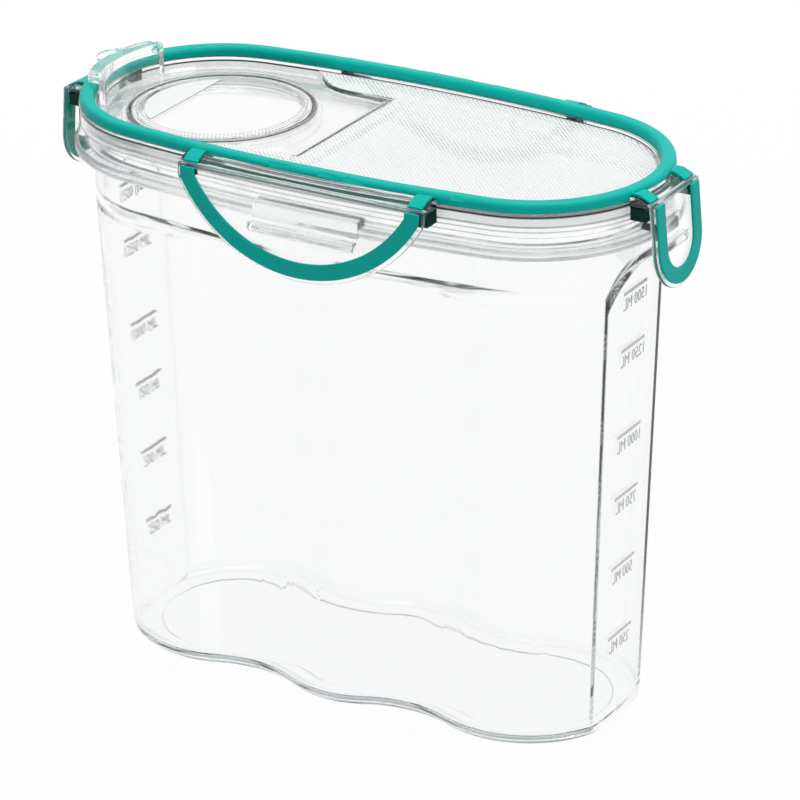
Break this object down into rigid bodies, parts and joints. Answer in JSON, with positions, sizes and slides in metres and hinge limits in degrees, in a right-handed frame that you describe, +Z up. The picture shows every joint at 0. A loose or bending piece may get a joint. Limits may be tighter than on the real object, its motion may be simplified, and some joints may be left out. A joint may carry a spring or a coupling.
{
  "type": "storage container",
  "caption": "Clear fluted food container with a gasketed lid, teal soft-edged wing latches and a hinged pour flap.",
  "frame": {"origin": "middle of the base, on the table", "axes": "+Z up, +X along the container away from the pour flap, -Y the front"},
  "size_m": [0.2104, 0.1056, 0.1843],
  "materials": {
    "clear_plastic": "clear gloss",
    "teal_soft_rubber": "satin",
    "clear_silicone": "satin"
  },
  "bodies": {
    "container": {"container_body": "clear_plastic"},
    "lid": {"lid_shell": "clear_plastic", "lid_gasket": "clear_silicone", "lid_soft_rim": "teal_soft_rubber"},
    "front_latch": {"front_latch": "clear_plastic", "front_latch_trim": "teal_soft_rubber"},
    "back_latch": {"back_latch": "clear_plastic", "back_latch_trim": "teal_soft_rubber"},
    "left_latch": {"left_latch": "clear_plastic", "left_latch_trim": "teal_soft_rubber"},
    "right_latch": {"right_latch": "clear_plastic", "right_latch_trim": "teal_soft_rubber"},
    "flap": {"pour_flap": "clear_plastic", "flap_gasket": "clear_silicone"}
  },
  "joints": [
    {"name": "lid_lift", "type": "slide", "parent": "container", "child": "lid", "axis": [0, 0, 1], "range_m": [0, 0.06]},
    {"name": "front_latch_hinge", "type": "hinge", "parent": "lid", "child": "front_latch", "pos_m": [0.0055, -0.0492, 0.1759], "axis": [-1, 0, 0], "range_deg": [-5, 115]},
    {"name": "back_latch_hinge", "type": "hinge", "parent": "lid", "child": "back_latch", "pos_m": [0.0055, 0.0492, 0.1759], "axis": [1, 0, 0], "range_deg": [-5, 115]},
    {"name": "left_latch_hinge", "type": "hinge", "parent": "lid", "child": "left_latch", "pos_m": [-0.1016, 0, 0.1759], "axis": [0, 1, 0], "range_deg": [-5, 115]},
    {"name": "right_latch_hinge", "type": "hinge", "parent": "lid", "child": "right_latch", "pos_m": [0.1016, 0, 0.1759], "axis": [0, -1, 0], "range_deg": [-5, 115]},
    {"name": "flap_hinge", "type": "hinge", "parent": "lid", "child": "flap", "pos_m": [-0.0106, 0, 0.1738], "axis": [0, 1, 0], "range_deg": [0, 105]}
  ]
}
